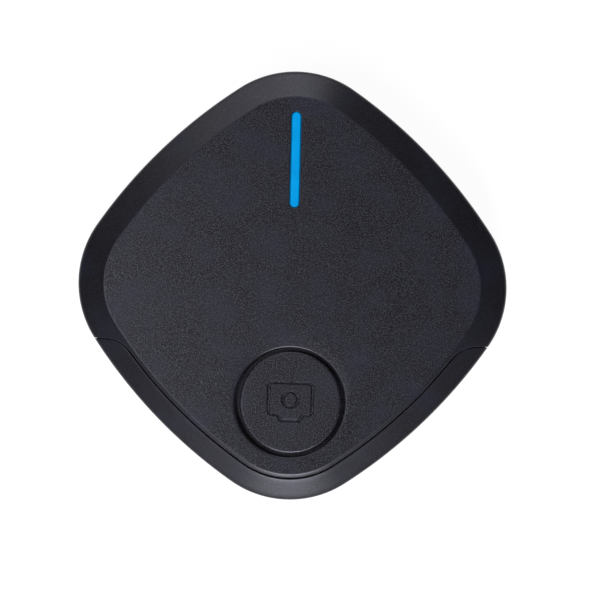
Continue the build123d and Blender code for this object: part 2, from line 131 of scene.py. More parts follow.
def seam_path(inset, top, corner_r, end_x):
    """One side of the seam, from the bottom middle: bottom corner arc, side arc, the seam's rounded inner corner,
    then straight out at height top to end_x. Normals point to the outside of the case."""
    far = SIDE_R - inset + corner_r
    corner = np.array((sqrt(far**2 - (SIDE_C - top + corner_r) ** 2) - SIDE_C, top - corner_r))
    away = np.arctan2(SIDE_C - corner[1], -SIDE_C - corner[0])
    run = np.linspace(corner[0], end_x, 6, endpoint=False)
    straight = np.stack((run, np.full_like(run, top), np.zeros_like(run), -np.ones_like(run)), axis=-1)
    return np.concatenate((
        arc((0, -CORNER_C), CORNER_R - inset, -QUARTER, JOIN - QUARTER, 24),
        arc((-SIDE_C, SIDE_C), SIDE_R - inset, JOIN - QUARTER, away - pi, 36),
        arc(corner, corner_r, away, QUARTER, 14, -1.0),
        straight,
    ))


def both_halves(half):
    """A path from the bottom middle to the top middle, joined to its mirror image: top, right, bottom, left, top."""
    flip = np.ones(half.shape[-1])
    flip[[0, 2]] = -1.0
    return np.concatenate((half[::-1], (half * flip)[1:]))


def edge_drop(step, radius):
    """How far a rounded edge lies below its face, step in from the wall: radius - sqrt(radius^2 - (radius - step)^2),
    and nothing once step passes the radius."""
    short = np.clip(radius - step, 0.0, None)
    return radius - np.sqrt(np.clip(radius**2 - short**2, 0.0, None))


def lift(plan, z):
    """Points in plan given the height z, which may be one number or one per point."""
    return np.concatenate((plan, np.broadcast_to(z, plan.shape[:-1])[..., None]), axis=-1)


def make_piece(name, grids, sharp=40.0):
    """One mesh from grids of points in millimetres: each grid's neighbours are joined by quads, equal points are
    welded, and edges steeper than sharp degrees are kept crisp."""
    points, faces, first = [], [], 0
    for grid in grids:
        rows, columns = grid.shape[:2]
        index = first + np.arange(rows * columns).reshape(rows, columns)
        quads = np.stack((index[:-1, :-1], index[:-1, 1:], index[1:, 1:], index[1:, :-1]), axis=-1)
        faces.append(quads.reshape(-1, 4))
        points.append(grid.reshape(-1, 3))
        first += rows * columns
    mesh = bpy.data.meshes.new(name)
    mesh.from_pydata((np.concatenate(points) * MM).tolist(), [], np.concatenate(faces).tolist())
    work = bmesh.new()
    work.from_mesh(mesh)
    bmesh.ops.remove_doubles(work, verts=work.verts, dist=1e-8)
    bmesh.ops.dissolve_degenerate(work, edges=work.edges, dist=1e-8)
    bmesh.ops.recalc_face_normals(work, faces=work.faces)
    work.to_mesh(mesh)
    work.free()
    mesh.shade_smooth()
    mesh.set_sharp_from_angle(angle=radians(sharp))
    piece = bpy.data.objects.new(name, mesh)
    bpy.context.scene.collection.objects.link(piece)
    return piece


def back_height(depth):
    """Height of the back by depth from the outline: a quarter circle, then flat at nought."""
    return edge_drop(np.clip(depth, 0, None), BACK_R)


tip_reach = SIDE_R - LOOP_TIP_R
tip_y = LOOP_TOP - LOOP_TIP_R
tip = (sqrt(tip_reach**2 - (SIDE_C - tip_y) ** 2) - SIDE_C, tip_y)
tip_lean = atan2(tip_y - SIDE_C, tip[0] + SIDE_C)
half = np.concatenate((
    seam_path(LOOP_IN, LOOP_TOP, LOOP_CORNER_R, tip[0]), arc(tip, LOOP_TIP_R, QUARTER, tip_lean, 7)))
loop_edge = both_halves(half)[:, :2]
tip_end = np.array(tip) + LOOP_TIP_R * np.array((cos(tip_lean), sin(tip_lean)))
loop_edge = np.concatenate(([tip_end], loop_edge, [tip_end * (-1, 1)]))
width, outwards = inside(loop_edge)
width[[0, -1]] = 0.0
rim = loop_edge + outwards * width[:, None]

# section, row by row: over edge and bevel, down the inner wall, back under, and up the outer wall; both radii
# shrink where the bar narrows to its tips
swing = np.linspace(0, 1, 8)[:, None]
seam_r = np.minimum(LOOP_EDGE_R, width / 4)
front_in = EDGE_R * (1 - np.cos(swing * (QUARTER - SLOPE))) * np.minimum(1, width / FULL_EDGE_WIDTH)
front_out = width - seam_r * (1 - np.sin(swing * QUARTER))
between = np.linspace(0, 1, 6)[1:-1, None]
front_depth = np.concatenate((front_in, front_in[-1] + between * (front_out[0] - front_in[-1]), front_out))
back_flat = width - seam_r * (1 - np.cos(swing[::-1] * QUARTER))
back_in = np.minimum(BACK_R, BACK_R_SHARE * back_flat[-1]) * (1 - np.sin(swing * QUARTER))
back_depth = np.concatenate((width - seam_r * (1 - np.cos(swing * QUARTER)), back_in))
front_z = front_height(front_depth) - edge_drop(width - front_depth, seam_r)
back_z = back_height(back_depth) + edge_drop(width - back_depth, seam_r)
wall = np.linspace(0, 1, 5)[1:-1, None]
inner_wall, outer_wall = np.broadcast_to(width, (3, len(width))), np.zeros((3, len(width)))
section_depth = np.concatenate((front_depth, inner_wall, back_depth, outer_wall))
section_z = np.concatenate((
    front_z, front_z[-1] + wall * (back_z[0] - front_z[-1]), back_z, back_z[-1] + wall * (front_z[0] - back_z[-1])))
section_depth = np.concatenate((section_depth, section_depth[:1]))
section_z = np.concatenate((section_z, section_z[:1]))
loop_skin = lift(rim - outwards * section_depth[..., None], section_z)


def arm(side):
    """Flat bar with rounded edges: a rounded section stretched between a left and a right line of points, shrunk to
    its middle line at both ends."""
    shoulder = ARM_END - ARM_EDGE_R
    left = np.array([(ARM_X[0], y) for y in (ARM_END, shoulder, HOOK_LOW, HOOK_LOW, ARM_ROOT[0])])
    right = np.array([
        (HOOK_X - ARM_EDGE_R, ARM_END), (HOOK_X, shoulder), (HOOK_X, HOOK_LOW), (ARM_X[1], HOOK_LOW),
        (ARM_X[1], ARM_ROOT[1])])
    turn = np.linspace(0, QUARTER, 5)
    across = np.concatenate((np.cos(turn), -np.sin(turn), -np.cos(turn), np.sin(turn), [1.0]))
    up = np.concatenate((np.sin(turn), np.cos(turn), -np.sin(turn), -np.cos(turn), [0.0]))
    half_width = np.linalg.norm(right - left, axis=-1)[:, None] / 2 - ARM_EDGE_R
    half_height = (ARM_Z[1] - ARM_Z[0]) / 2 - ARM_EDGE_R
    share = np.sign(across) * half_width + ARM_EDGE_R * across
    height = np.sign(up) * half_height + ARM_EDGE_R * up
    middle = (left + right) / 2
    along = (right - left) / np.linalg.norm(right - left, axis=-1)[:, None]
    flat = middle[:, None] + share[..., None] * along[:, None]
    grid = lift(flat, np.broadcast_to(sum(ARM_Z) / 2 + height, share.shape))
    closed = [np.broadcast_to(grid[i].mean(axis=0), grid[i].shape)[None] for i in (0, -1)]
    return np.concatenate((closed[0], grid, closed[1])) * (side, 1, 1)


def linear(shade):
    """sRGB hex to linear colour: each channel c becomes ((c + 0.055) / 1.055) ** 2.4, or c / 12.92 near black."""
    c = np.array([int(shade[i : i + 2], 16) / 255 for i in (0, 2, 4)])
    return (*np.where(c > 0.04045, ((c + 0.055) / 1.055) ** 2.4, c / 12.92).tolist(), 1.0)


def new_material(name):
    """A node material with no nodes yet."""
    material = bpy.data.materials.new(name)
    material.use_nodes = True
    material.node_tree.nodes.clear()
    return material


def add(material, kind, settings, links=()):
    """Adds one node to a material, or to the world. Settings are properties or values of input sockets; links are
    pairs of an input socket and the output that feeds it."""
    made = material.node_tree.nodes.new(kind)
    for name, value in settings.items():
        if isinstance(name, str) and hasattr(made, name):
            setattr(made, name, value)
        else:
            made.inputs[name].default_value = value
    for socket, output in links:
        material.node_tree.links.new(output, made.inputs[socket])
    return made


def textured_abs(name, dark, light, grain_mm, relief, glint, roughness):
    """Black ABS from a spark-eroded mould: a fine grain of pin-point glints on darker plastic, patchily stronger and
    weaker, with faint bluish clouds. The real grain is about 0.03 mm, drawn coarser so that it shows."""
    material = new_material(name)
    place = add(material, "ShaderNodeTexCoord", {}).outputs["Object"]
    grain = add(material, "ShaderNodeTexNoise", {"Scale": 1 / (grain_mm * MM), "Detail": 2.0, "Roughness": 0.6},
                [("Vector", place)])
    cloud = add(material, "ShaderNodeTexNoise", {"Scale": 1 / (4 * MM), "Detail": 3.0}, [("Vector", place)])
    # painted highlight: the ramp's light end puts lighter specks into the base colour as glints, over the grain's own
    # tone
    tint = add(material, "ShaderNodeValToRGB", {}, [("Fac", grain.outputs["Fac"])])
    tint.color_ramp.elements[0].position, tint.color_ramp.elements[0].color = 0.42, linear(dark)
    tint.color_ramp.elements[1].position, tint.color_ramp.elements[1].color = 0.78, linear(light)
    blue = add(material, "ShaderNodeMapRange", {"From Min": 0.5, "From Max": 0.7, "To Max": 0.6},
               [("Value", cloud.outputs["Fac"])])
    shade = add(material, "ShaderNodeMix", {"data_type": "RGBA", "blend_type": "SCREEN", 7: linear("07071c")},
                [(0, blue.outputs["Result"]), (6, tint.outputs["Color"])])
    glints = add(material, "ShaderNodeMapRange", {"From Min": 0.45, "From Max": 0.73, "To Min": 0.5 - glint / 2,
                 "To Max": 0.5 + 1.5 * glint}, [("Value", grain.outputs["Fac"])])
    patch = add(material, "ShaderNodeMapRange", {"From Min": 0.35, "From Max": 0.62, "To Min": 1.15, "To Max": 0.3},
                [("Value", cloud.outputs["Fac"])])
    shine = add(material, "ShaderNodeMix", {"data_type": "FLOAT", 2: 0.5},
                [(0, patch.outputs["Result"]), (3, glints.outputs["Result"])])
    gloss = add(material, "ShaderNodeMapRange", {"From Min": 0.3, "From Max": 0.7, "To Min": roughness - 0.02,
                "To Max": roughness + 0.02}, [("Value", cloud.outputs["Fac"])])
    bump = add(material, "ShaderNodeBump", {"Distance": relief * grain_mm * MM}, [("Height", grain.outputs["Fac"])])
    body = add(material, "ShaderNodeBsdfPrincipled", {"IOR": 1.5}, [
        ("Base Color", shade.outputs[2]), ("Specular IOR Level", shine.outputs[0]),
        ("Roughness", gloss.outputs["Result"]), ("Normal", bump.outputs["Normal"])])
    add(material, "ShaderNodeOutputMaterial", {}, [("Surface", body.outputs["BSDF"])])
    return material


loop_abs = textured_abs("satin_black_abs_loop", "131316", "24242a", 0.13, 0.06, 0.12, 0.36)
hanging_loop = make_piece("hanging_loop_bar", [loop_skin, arm(1), arm(-1)])
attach(hanging_loop, "loop")
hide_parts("hanging_loop")
hanging_loop.data.materials.append(loop_abs)


# ---- Front shell ----
# Injection-moulded ABS lid: a flat face, a narrow bevel that runs out to a soft outer edge, and thin walls down
# to the parting line. The button drops through the round hole, and the light bar through the slot.
SPLIT_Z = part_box("front_cover")[0].z / MM
WALL = 1.2
SEAM_IN, SEAM_TOP, SEAM_CORNER_R, TIP_R = 2.2, -5.57, 3.22, 0.06
CEILING_Z, CEILING_IN, CEILING_DROP = 7.3, 2.6, 0.8
WINDOW_X, WINDOW_Z = (13.78, 16.42), 4.67
BUTTON_MIDDLE, BUTTON_HOLE_R, HOLE_EDGE_R = np.array((0.0, -11.42)), 5.32, 0.25
BAR_Y, SLOT_R, SLOT_HALF, SLOT_EDGE_R, SLOT_FADE = 12.3, 0.5, 4.225, 0.05, 1.5
BEVEL_LAST, FACE_FIRST = 2.35, 2.75


def shell_path():
    """The shells' edge in plan, with two more columns: 1 beside the seam fading to 0 on the rim, and 1 where an
    arm's window is. The window's ends are doubled, so its sides stand upright."""
    drop = -SEAM_TOP - TIP_R
    tip = (CORNER_C + sqrt((CORNER_R - TIP_R) ** 2 - drop**2), -drop)
    lean = asin(drop / (CORNER_R - TIP_R))
    seam = seam_path(SEAM_IN, SEAM_TOP, SEAM_CORNER_R, tip[0])
    seam = np.column_stack((seam, np.ones(len(seam)), np.zeros(len(seam))))
    for x, inner, outer in ((WINDOW_X[0], 0, 1), (WINDOW_X[1], 1, 0)):
        after = np.searchsorted(seam[:, 0], x)
        share = (x - seam[after - 1, 0]) / (seam[after, 0] - seam[after - 1, 0])
        cut = seam[after - 1] + share * (seam[after] - seam[after - 1])
        seam = np.insert(seam, after, [[*cut[:5], inner], [*cut[:5], outer]], axis=0)
    seam[:, 5] = np.where((seam[:, 0] > WINDOW_X[0]) & (seam[:, 0] < WINDOW_X[1]), 1, seam[:, 5])
    turn = arc(tip, TIP_R, -QUARTER, -lean, 7)
    turn = np.column_stack((turn, np.linspace(1, 0, 7, endpoint=False), np.zeros(7)))
    rim = np.concatenate((
        arc((CORNER_C, 0), CORNER_R, -lean, JOIN, 48),
        arc((-SIDE_C, -SIDE_C), SIDE_R, JOIN, QUARTER - JOIN, 40),
        arc((0, CORNER_C), CORNER_R, QUARTER - JOIN, QUARTER, 24),
        [(0, HALF_WIDTH, 0, 1)],
    ))
    return both_halves(np.concatenate((seam, turn, np.column_stack((rim, np.zeros((len(rim), 2)))))))


def plate(ring, rays, hole_r, slot_r):
    """Flat grid from a closed ring to the button hole, in plan. Each column runs straight from ring to hole, and
    the join between first and last column is pushed apart into the light bar's slot by slot_r, less and less
    sideways, by exp(-|x| / SLOT_FADE). Also gives the slot's rim."""
    turn = np.linspace(0, QUARTER, 7)
    top_end = BAR_Y + SLOT_HALF + slot_r * np.cos(turn)
    low_end = BAR_Y - SLOT_HALF - slot_r * np.sin(turn)
    slot_y = np.concatenate((top_end, np.linspace(top_end[-1], low_end[0], 5)[1:-1], low_end))
    slot_push = np.concatenate((slot_r * np.sin(turn), np.full(3, slot_r), slot_r * np.cos(turn)))
    hole = BUTTON_MIDDLE + hole_r * rays
    begin, end = ring[0, 1], hole[0, 1]
    rows_y = np.concatenate(([begin], [(begin + slot_y[0]) / 2], slot_y, np.linspace(slot_y[-1], end, 8)[1:]))
    push = np.concatenate((np.zeros(2), slot_push, np.zeros(7)))
    share = ((begin - rows_y) / (begin - end))[:, None, None]
    grid = ring + share * (hole - ring)
    side = np.where(np.arange(len(ring)) < len(ring) / 2, 1.0, -1.0)
    fade = np.exp(-np.abs(grid[..., 0]) / SLOT_FADE) * (grid[..., 1] > 0)
    grid[..., 0] += side * push[:, None] * fade
    rim = np.concatenate((grid[2:-7, 0], grid[2:-7, -1][::-1]))
    return grid, rim


path = shell_path()
start, normal, beside_seam = path[:, :2], path[:, 2:4], path[:, 4]
depth, outwards = inside(start)
low = SPLIT_Z + path[:, 5] * (WINDOW_Z - SPLIT_Z)

# outer surface, from the parting line's broken edge up the wall, over the edge and the bevel to the face
swing = np.linspace(0, 1, 8)[:, None]
parting = SEAM_R * (1 - np.sin(swing * QUARTER))
rows = [lift(start - outwards * WALL, low)]
parting_rise = 1 - np.cos(swing * QUARTER)
rows += [lift(start - normal * step, low + SEAM_R * rise) for step, rise in zip(parting[::2], parting_rise[::2])]
soft_step = (1 - beside_seam) * EDGE_R * (1 - np.cos(swing * (QUARTER - SLOPE)))
step = soft_step + beside_seam * SEAM_R * (1 - np.cos(swing * QUARTER))
edge = start - normal * step[..., None]
edge_depth, edge_out = inside(edge)
edge_z = front_height(np.clip(edge_depth, 0, None)) - edge_drop(step, SEAM_R * beside_seam)
for share in (0.03, 0.35, 0.65, 0.97):
    rows.append(lift(start, low + SEAM_R + share * (edge_z[0] - low - SEAM_R)))
rows += list(lift(edge, edge_z))
last, last_depth, last_out = edge[-1], edge_depth[-1], edge_out[-1]
for share in (0.04, 0.33, 0.67, 1.0):
    reach = share * (BEVEL_LAST - last_depth)
    rows.append(lift(last - last_out * reach[:, None], front_height(last_depth + reach)))
crease = CREASE_END - CREASE_R * np.sin(np.linspace(SLOPE, 0, 7))
for level in (*crease, FACE_FIRST):
    rows.append(lift(last - last_out * (level - last_depth)[:, None], front_height(np.full(len(last), level))))
outer = np.array(rows)

# face with its hole and slot, then the inside: walls, sloping shoulder and ceiling
face_ring = outer[-1, :, :2]
rays = face_ring - BUTTON_MIDDLE
rays /= np.linalg.norm(rays, axis=-1)[:, None]
face, slot_top = plate(face_ring, rays, BUTTON_HOLE_R + HOLE_EDGE_R, SLOT_R + SLOT_EDGE_R)
inner_depth = depth + WALL
inner = start - outwards * WALL
shoulder = np.minimum(CEILING_Z, CEILING_Z - CEILING_DROP * (CEILING_IN - inner_depth) / (CEILING_IN - WALL))
ceiling_ring = inner - outwards * np.clip(CEILING_IN - inner_depth, 0, None)[:, None]
ceiling, _ = plate(ceiling_ring, rays, BUTTON_HOLE_R, SLOT_R)
inside_walls = np.array((lift(inner, low), lift(inner, shoulder), lift(ceiling_ring, CEILING_Z)))

# rims of the button hole and of the slot
quarter = np.linspace(0, QUARTER, 6)
hole_rim = [(BUTTON_HOLE_R + HOLE_EDGE_R * (1 - sin(a)), THICK - HOLE_EDGE_R * (1 - cos(a))) for a in quarter]
hole_rim += [(BUTTON_HOLE_R, THICK - HOLE_EDGE_R - 0.05), (BUTTON_HOLE_R, CEILING_Z)]
hole_wall = np.array([lift(BUTTON_MIDDLE + r * rays, z) for r, z in hole_rim])
spine = np.stack((np.zeros(len(slot_top)), np.clip(slot_top[:, 1], BAR_Y - SLOT_HALF, BAR_Y + SLOT_HALF)), axis=-1)
slot_ray = (slot_top - spine) / (SLOT_R + SLOT_EDGE_R)
slot_rim = [(SLOT_R + SLOT_EDGE_R * (1 - sin(a)), THICK - SLOT_EDGE_R * (1 - cos(a))) for a in quarter]
slot_rim += [(SLOT_R, CEILING_Z)]
slot_wall = np.array([lift(spine + r * slot_ray, z) for r, z in slot_rim])
slot_wall = np.concatenate((slot_wall, slot_wall[:, :1]), axis=1)

front_shell = make_piece("front_shell", [
    outer, lift(face, THICK), inside_walls, lift(ceiling, CEILING_Z), hole_wall, slot_wall])
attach(front_shell, "case")
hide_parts("front_cover")
# the bevel is stoned smoother than the flat face
bevel_abs = textured_abs("satin_black_abs_bevel", "131316", "24242a", 0.13, 0.06, 0.12, 0.36)
case_abs = textured_abs("textured_black_abs", "101013", "36363d", 0.12, 0.12, 0.46, 0.37)
front_shell.data.materials.append(bevel_abs)
front_shell.data.materials.append(case_abs)
height = np.array([polygon.center.z for polygon in front_shell.data.polygons])
front_shell.data.polygons.foreach_set("material_index", (height > (THICK - 0.001) * MM).astype(int).tolist())


# ---- Button ----
# Moulded ABS cap, set a little below the face. Its pictogram, a plain camera, is a shallow flat-bottomed groove
# with sloping walls, so each line shows a bright wall and a dark one. Under it are a flange, tabs and a post.
CAP_MIDDLE, CAP_R, CAP_EDGE_R, CAP_Z = BUTTON_MIDDLE + (0.08, 0.0), 5.0, 0.25, 8.45
GROOVE_HALF, GROOVE_WALL, GROOVE_DEPTH = 0.19, 0.12, 0.18
PICTURE_X, PICTURE_TOP, PICTURE_LOW, PICTURE_CORNER_R = 2.15, 1.91, -1.2, 0.45
HUMP = np.array(((1.22, -1.2), (0.9, -1.78)))
LENS, LENS_R = (0.0, 0.3), 0.74
FLANGE_R, FLANGE_Z, TAB_REACH, TAB_HALF = 5.84, (6.81, 7.27), 6.69, 0.8
HOLLOW_WALL, HOLLOW_Z, POST_R, POST_Z = 0.9, 7.5, 1.2, 6.89
CELLS, FINE_CELLS, FINE_SHARE = 250, 208, 0.57


def picture_line():
    """Middle line of the camera's outline, closed: a rectangle with rounded corners and a hump on its lower side."""
    x, r = PICTURE_X - PICTURE_CORNER_R, PICTURE_CORNER_R
    upper, lower = PICTURE_TOP - r, PICTURE_LOW + r
    line = np.concatenate((
        arc((x, upper), r, 0, QUARTER, 6)[:, :2], arc((-x, upper), r, QUARTER, pi, 6)[:, :2],
        arc((-x, lower), r, pi, pi + QUARTER, 6)[:, :2], HUMP * (-1, 1), HUMP[::-1],
        arc((x, lower), r, -QUARTER, 0, 6)[:, :2]))
    return np.concatenate((line, line[:1]))


def groove(points):
    """Depth below the cap's face: the groove is full depth near its middle line, and its wall rises by the smooth
    step 3 t^2 - 2 t^3. Distance is to the nearest stretch of the outline, or to the lens circle."""
    away = np.abs(np.linalg.norm(points - LENS, axis=-1) - LENS_R)
    line = picture_line()
    for begin, end in zip(line[:-1], line[1:]):
        run = end - begin
        along = np.clip((points - begin) @ run / (run @ run), 0, 1)
        away = np.minimum(away, np.linalg.norm(points - begin - along[..., None] * run, axis=-1))
    t = np.clip((GROOVE_HALF - away) / GROOVE_WALL, 0, 1)
    return GROOVE_DEPTH * t * t * (3 - 2 * t)


# face: a square grid, finer in the middle, bent to a disc by x sqrt(1 - y^2 / 2), y sqrt(1 - x^2 / 2)
coarse = (CELLS - FINE_CELLS) // 2
middle = np.linspace(-FINE_SHARE, FINE_SHARE, FINE_CELLS + 1)
side = np.linspace(FINE_SHARE, 1, coarse + 1)[1:]
steps = np.concatenate((-side[::-1], middle, side))
x, y = np.meshgrid(steps, steps, indexing="ij")
disc = (CAP_R - CAP_EDGE_R) * np.stack((x * np.sqrt(1 - y**2 / 2), y * np.sqrt(1 - x**2 / 2)), axis=-1)
cap_face = lift(disc, CAP_Z - groove(disc))

# skirt: edge radius, wall, flange with its two tabs, hollow underside, post
border = np.concatenate((disc[0], disc[1:, -1], disc[-1, -2::-1], disc[-2::-1, 0]))
ray = border / np.linalg.norm(border, axis=-1)[:, None]
tab = np.abs(ray[:, 1]) * TAB_REACH < TAB_HALF
flange = np.where(tab, TAB_REACH / np.abs(ray[:, 0]).clip(0.5), FLANGE_R)[:, None]
swing = np.linspace(0, QUARTER, 7)
skirt = [(CAP_R - CAP_EDGE_R * (1 - sin(a)), CAP_Z - CAP_EDGE_R * (1 - cos(a))) for a in swing]
skirt += [(CAP_R, FLANGE_Z[1]), (flange, FLANGE_Z[1]), (flange, FLANGE_Z[0]), (CAP_R - HOLLOW_WALL, FLANGE_Z[0])]
skirt += [(CAP_R - HOLLOW_WALL, HOLLOW_Z), (POST_R, HOLLOW_Z), (POST_R, POST_Z), (0.0, POST_Z)]
cap_skirt = np.array([lift(radius * ray, z) for radius, z in skirt])
shift = (*CAP_MIDDLE, 0.0)
button = make_piece("button_cap_face", [cap_face + shift, cap_skirt + shift])
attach(button, "button")
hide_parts("button_cap")
button_abs = textured_abs("grained_black_abs_button", "101013", "39393f", 0.13, 0.15, 0.46, 0.37)
button.data.materials.append(button_abs)


# ---- Light bar ----
# Light pipe of blue polycarbonate, flush with the face, held by a wide flange under the ceiling. It reads as one
# even saturated blue: a faint painted glow, emission in its own blue, lifts it, as no lamp lights it from inside.
BAR_R, BAR_EDGE_R, BAR_FLANGE_R, BAR_FLANGE_T, BAR_FLANGE_SHARE = 0.4, 0.06, 1.1, 0.45, 4.2 / 4.225
around = np.linspace(0, 2 * pi, 73)
bar_ray = np.stack((np.cos(around), np.sin(around)), axis=-1)
bar_spine = np.stack((np.zeros(73), np.where(np.arange(73) % 72 <= 36, SLOT_HALF, -SLOT_HALF)), axis=-1)
bar_rows = [(0.0, THICK, 1.0)]
bar_rows += [(BAR_R - BAR_EDGE_R * (1 - sin(a)), THICK - BAR_EDGE_R * (1 - cos(a)), 1.0) for a in swing]
bar_rows += [(BAR_R, CEILING_Z, 1.0), (BAR_FLANGE_R, CEILING_Z, BAR_FLANGE_SHARE)]
bar_rows += [(r, CEILING_Z - BAR_FLANGE_T, BAR_FLANGE_SHARE) for r in (BAR_FLANGE_R, 0.0)]
bar_skin = np.array([lift((0, BAR_Y) + share * bar_spine + r * bar_ray, z) for r, z, share in bar_rows])
light_pipe = make_piece("light_pipe", [bar_skin])
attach(light_pipe, "case")
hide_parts("light_bar")
bar_plastic = new_material("translucent_blue_polycarbonate")
place = add(bar_plastic, "ShaderNodeTexCoord", {}).outputs["Object"]
haze = add(bar_plastic, "ShaderNodeTexNoise", {"Scale": 1 / (1.5 * MM), "Detail": 2.0}, [("Vector", place)])
tint = add(bar_plastic, "ShaderNodeValToRGB", {}, [("Fac", haze.outputs["Fac"])])
tint.color_ramp.elements[0].position, tint.color_ramp.elements[0].color = 0.3, linear("008bc6")
tint.color_ramp.elements[1].position, tint.color_ramp.elements[1].color = 0.7, linear("0097d2")
# painted glow: the bar gives off a little light in its own blue, though it is no lamp
body = add(bar_plastic, "ShaderNodeBsdfPrincipled", {
    "IOR": 1.5, "Roughness": 0.4, "Specular IOR Level": 0.08, "Emission Strength": 0.2},
    [("Base Color", tint.outputs["Color"]), ("Emission Color", tint.outputs["Color"])])
add(bar_plastic, "ShaderNodeOutputMaterial", {}, [("Surface", body.outputs["BSDF"])])
light_pipe.data.materials.append(bar_plastic)


# ---- Back shell and battery door ----
# The same satin ABS as the front shell's walls, from one batch, so the two meet evenly at the parting line. The
# door's grain is a little coarser and glossier, from handling with a coin.
node["rear_cover"].material_slots[0].material = bevel_abs
door_abs = textured_abs("grained_black_abs_door", "121215", "29292f", 0.16, 0.1, 0.2, 0.35)
node["battery_door"].material_slots[0].material = door_abs


# ---- Battery and its seals ----
# Seen when the door is off: a bright steel coin cell with a dull grey seal round its cap, and the door's black
# rubber ring. Each is faintly mottled, steel across its shine and plastics in their colour.
def mottled(name, dark, light, spot_mm, roughness, metallic=0.0):
    """Plain material broken up by noise: colour between dark and light, and roughness a tenth either way, in spots
    of the given size. A shallow bump from the same noise keeps highlights from being even."""
    material = new_material(name)
    place = add(material, "ShaderNodeTexCoord", {}).outputs["Object"]
    spots = add(material, "ShaderNodeTexNoise", {"Scale": 1 / (spot_mm * MM), "Detail": 3.0}, [("Vector", place)])
    tint = add(material, "ShaderNodeValToRGB", {}, [("Fac", spots.outputs["Fac"])])
    tint.color_ramp.elements[0].position, tint.color_ramp.elements[0].color = 0.3, linear(dark)
    tint.color_ramp.elements[1].position, tint.color_ramp.elements[1].color = 0.7, linear(light)
    gloss = add(material, "ShaderNodeMapRange", {"From Min": 0.3, "From Max": 0.7, "To Min": roughness * 0.9,
                "To Max": roughness * 1.1}, [("Value", spots.outputs["Fac"])])
    bump = add(material, "ShaderNodeBump", {"Distance": 0.01 * MM}, [("Height", spots.outputs["Fac"])])
    body = add(material, "ShaderNodeBsdfPrincipled", {"Metallic": metallic}, [
        ("Base Color", tint.outputs["Color"]), ("Roughness", gloss.outputs["Result"]),
        ("Normal", bump.outputs["Normal"])])
    add(material, "ShaderNodeOutputMaterial", {}, [("Surface", body.outputs["BSDF"])])
    return material


def finish(material, *names):
    """Gives the material to CAD nodes by name."""
    for name in names:
        node[name].material_slots[0].material = material


finish(mottled("nitrile_rubber", "141414", "1e1e1e", 0.3, 0.75), "door_gasket")
finish(mottled("nickel_plated_steel", "b4b4b2", "cfcfcc", 0.4, 0.22, 1.0), "cell_can", "cell_cap")
finish(mottled("grey_polypropylene_seal", "5b5f62", "6a6e71", 0.2, 0.55), "cell_gasket")
finish(mottled("manganese_dioxide_paste", "19181a", "2a292b", 0.15, 0.9), "cell_core")


# ---- Circuit board ----
# Green laminate: the glass weave shows as a faint square lattice under the solder mask, with copper, tin and small
# chips standing on it.
laminate = new_material("green_solder_mask_laminate")
place = add(laminate, "ShaderNodeTexCoord", {}).outputs["Object"]
THREAD_GAP = 0.4
threads = 1 / (THREAD_GAP * MM) / 6.28
warp = add(laminate, "ShaderNodeTexWave", {"Scale": threads, "bands_direction": "X"}, [("Vector", place)])
weft = add(laminate, "ShaderNodeTexWave", {"Scale": threads, "bands_direction": "Y"}, [("Vector", place)])
weave = add(laminate, "ShaderNodeMath", {"operation": "MULTIPLY"}, [
    (0, warp.outputs["Fac"]), (1, weft.outputs["Fac"])])
tint = add(laminate, "ShaderNodeValToRGB", {}, [("Fac", weave.outputs["Value"])])
tint.color_ramp.elements[0].color = linear("123f26")
tint.color_ramp.elements[1].color = linear("1b5333")
bump = add(laminate, "ShaderNodeBump", {"Distance": 0.01 * MM}, [("Height", weave.outputs["Value"])])
body = add(laminate, "ShaderNodeBsdfPrincipled", {"Roughness": 0.35}, [
    ("Base Color", tint.outputs["Color"]), ("Normal", bump.outputs["Normal"])])
add(laminate, "ShaderNodeOutputMaterial", {}, [("Surface", body.outputs["BSDF"])])
finish(laminate, "circuit_board")
finish(mottled("black_chip_epoxy", "1a1a1b", "262627", 0.1, 0.6), "bluetooth_chip")
finish(mottled("drawn_nickel_can", "a9a9a6", "c2c2be", 0.2, 0.3, 1.0), "crystals")
finish(mottled("gold_washed_copper", "b98a4a", "d0a35f", 0.2, 0.3, 1.0), "antenna_trace", "test_pads")
finish(mottled("tan_ceramic_capacitor", "9c7a55", "b18d64", 0.1, 0.5), "capacitors")
finish(mottled("black_glazed_resistor", "161618", "232326", 0.1, 0.4), "resistors")
finish(mottled("reflowed_tin", "bdbdbb", "d8d8d5", 0.1, 0.28, 1.0), "chip_terminals", "switch_terminals")
finish(mottled("zinc_plated_screw_steel", "9fa3a6", "babec0", 0.15, 0.32, 1.0), "board_screws")
finish(mottled("white_led_housing", "d6d6d2", "e6e6e2", 0.1, 0.5), "led_bodies")
finish(mottled("cloudy_led_resin", "c9d3da", "dde6ec", 0.2, 0.2), "led_lenses")


# ---- Switch, buzzer and springs ----
# A small tact switch under the button, and a brass disc with a pale ceramic layer as the buzzer. Sprung contacts
# are bare rolled steel, brighter and sharper in shine than the cell.
spring_steel = mottled("rolled_spring_steel", "b9b9b6", "d2d2ce", 0.25, 0.25, 1.0)
finish(mottled("black_nylon_switch", "1c1c1e", "2a2a2c", 0.15, 0.5), "switch_base")
finish(mottled("grey_nylon_plunger", "6f7275", "7f8285", 0.1, 0.45), "switch_plunger")
finish(spring_steel, "switch_cover", "positive_contacts", "negative_contact", "buzzer_springs")
finish(mottled("foam_tape", "d8d8d2", "ebebe6", 0.2, 0.9), "buzzer_tape")
finish(mottled("rolled_brass", "b8974e", "cdae66", 0.5, 0.28, 1.0), "buzzer_plate")
finish(mottled("silvered_ceramic", "c9c8c2", "dddcd6", 0.2, 0.4), "buzzer_ceramic")
